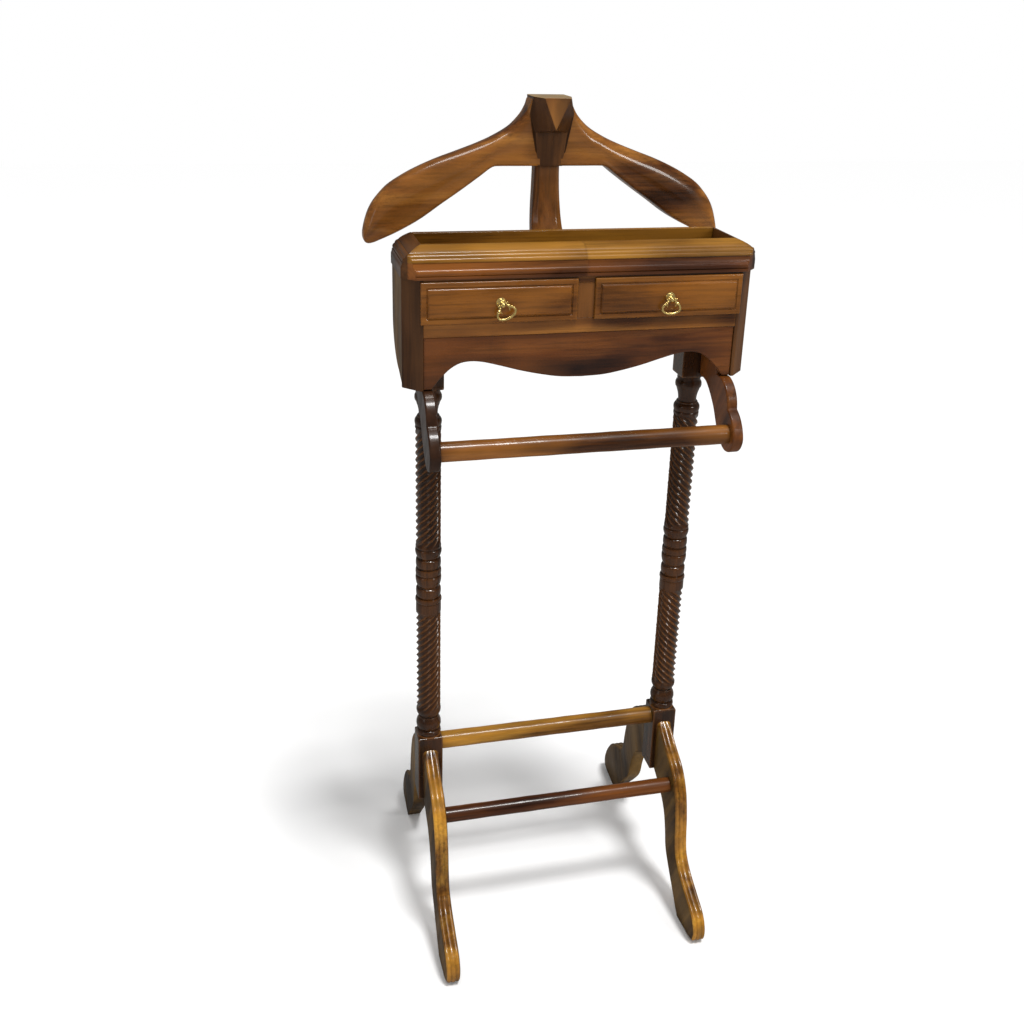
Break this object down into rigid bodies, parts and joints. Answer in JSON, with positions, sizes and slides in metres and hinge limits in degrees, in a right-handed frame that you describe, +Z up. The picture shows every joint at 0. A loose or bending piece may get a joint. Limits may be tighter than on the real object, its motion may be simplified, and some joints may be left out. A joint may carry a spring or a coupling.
{
  "type": "valet stand",
  "caption": "Wooden valet stand with a coat hanger, open tray, small drawers, a trouser rail and foot rails on rope-twist columns and scroll legs.",
  "frame": {"origin": "on the floor, midway between the two columns", "axes": "+Z up, +X to the right of someone facing the drawers, -Y towards that person"},
  "size_m": [0.4904, 0.416, 1.135],
  "materials": {
    "mahogany_dark": "polished, dark reddish brown",
    "mahogany_warm": "polished, golden brown",
    "plain_timber": "unpolished drawer lining",
    "brass": "polished",
    "steel": "plain"
  },
  "bodies": {
    "stand": {"column_left": "mahogany_dark", "column_right": "mahogany_dark", "bracket_left": "mahogany_dark", "bracket_right": "mahogany_dark", "hanger_head": "mahogany_dark", "hanger_arm_left": "mahogany_dark", "hanger_arm_right": "mahogany_dark", "hanger_post": "mahogany_dark", "side_panel_left": "mahogany_dark", "side_panel_right": "mahogany_dark", "corner_post_left": "mahogany_dark", "corner_post_right": "mahogany_dark", "rim_front": "mahogany_dark", "rim_side_left": "mahogany_dark", "rim_side_right": "mahogany_dark", "back_board": "mahogany_dark", "tray_floor": "mahogany_dark", "case_bottom": "mahogany_dark", "partition": "mahogany_dark", "divider": "mahogany_dark", "front_leg_left": "mahogany_warm", "front_leg_right": "mahogany_warm", "rear_leg_left": "mahogany_warm", "rear_leg_right": "mahogany_warm", "upper_foot_rail": "mahogany_warm", "lower_foot_rail": "mahogany_warm", "trouser_rail": "mahogany_warm", "apron": "mahogany_warm", "bottom_rail": "mahogany_warm", "post_screws": "steel", "case_screws": "steel"},
    "drawer_left": {"drawer_left_front": "mahogany_warm", "drawer_left_side_a": "plain_timber", "drawer_left_side_b": "plain_timber", "drawer_left_back": "plain_timber", "drawer_left_bottom": "plain_timber", "rosette_left": "brass", "pull_bolt_left": "brass", "pull_pin_left": "brass", "pull_nut_left": "brass"},
    "drawer_right": {"drawer_right_front": "mahogany_warm", "drawer_right_side_a": "plain_timber", "drawer_right_side_b": "plain_timber", "drawer_right_back": "plain_timber", "drawer_right_bottom": "plain_timber", "rosette_right": "brass", "pull_bolt_right": "brass", "pull_pin_right": "brass", "pull_nut_right": "brass"},
    "bail_left": {"bail_left": "brass"},
    "bail_right": {"bail_right": "brass"}
  },
  "joints": [
    {"name": "drawer_left_slide", "type": "slide", "parent": "stand", "child": "drawer_left", "axis": [0, -1, 0], "range_m": [0, 0.055]},
    {"name": "drawer_right_slide", "type": "slide", "parent": "stand", "child": "drawer_right", "axis": [0, -1, 0], "range_m": [0, 0.055]},
    {"name": "bail_left_hinge", "type": "hinge", "parent": "drawer_left", "child": "bail_left", "pos_m": [-0.10434, -0.0967, 0.91567], "axis": [-0.9063, 0, -0.4226], "range_deg": [-15, 165]},
    {"name": "bail_right_hinge", "type": "hinge", "parent": "drawer_right", "child": "bail_right", "pos_m": [0.1051, -0.0967, 0.9155], "axis": [-1, 0, 0], "range_deg": [-15, 165]}
  ]
}
